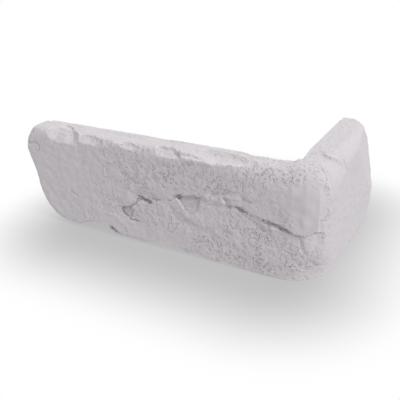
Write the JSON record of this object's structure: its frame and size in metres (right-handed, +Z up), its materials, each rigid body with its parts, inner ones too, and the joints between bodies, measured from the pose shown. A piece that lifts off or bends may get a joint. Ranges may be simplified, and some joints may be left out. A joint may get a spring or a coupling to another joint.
{
  "type": "corner brick slip",
  "caption": "L-shaped cast corner brick slip with a worn, fractured stretcher face, a shorter header face, rounded arrises and flat backs for gluing round a wall corner.",
  "frame": {"origin": "the wall's arris at the bed: where the two flat backs would meet, at the height of the bed face", "axes": "+Z up from bed to top, -X along the long leg whose face looks towards -Y, +Y along the short leg whose face looks towards +X"},
  "size_m": [0.2033, 0.106, 0.065],
  "materials": {
    "cast_body": "matt cast body, off-white with a faint lilac tint"
  },
  "bodies": {
    "root": {"corner_brick_slip": "cast_body"}
  },
  "joints": []
}
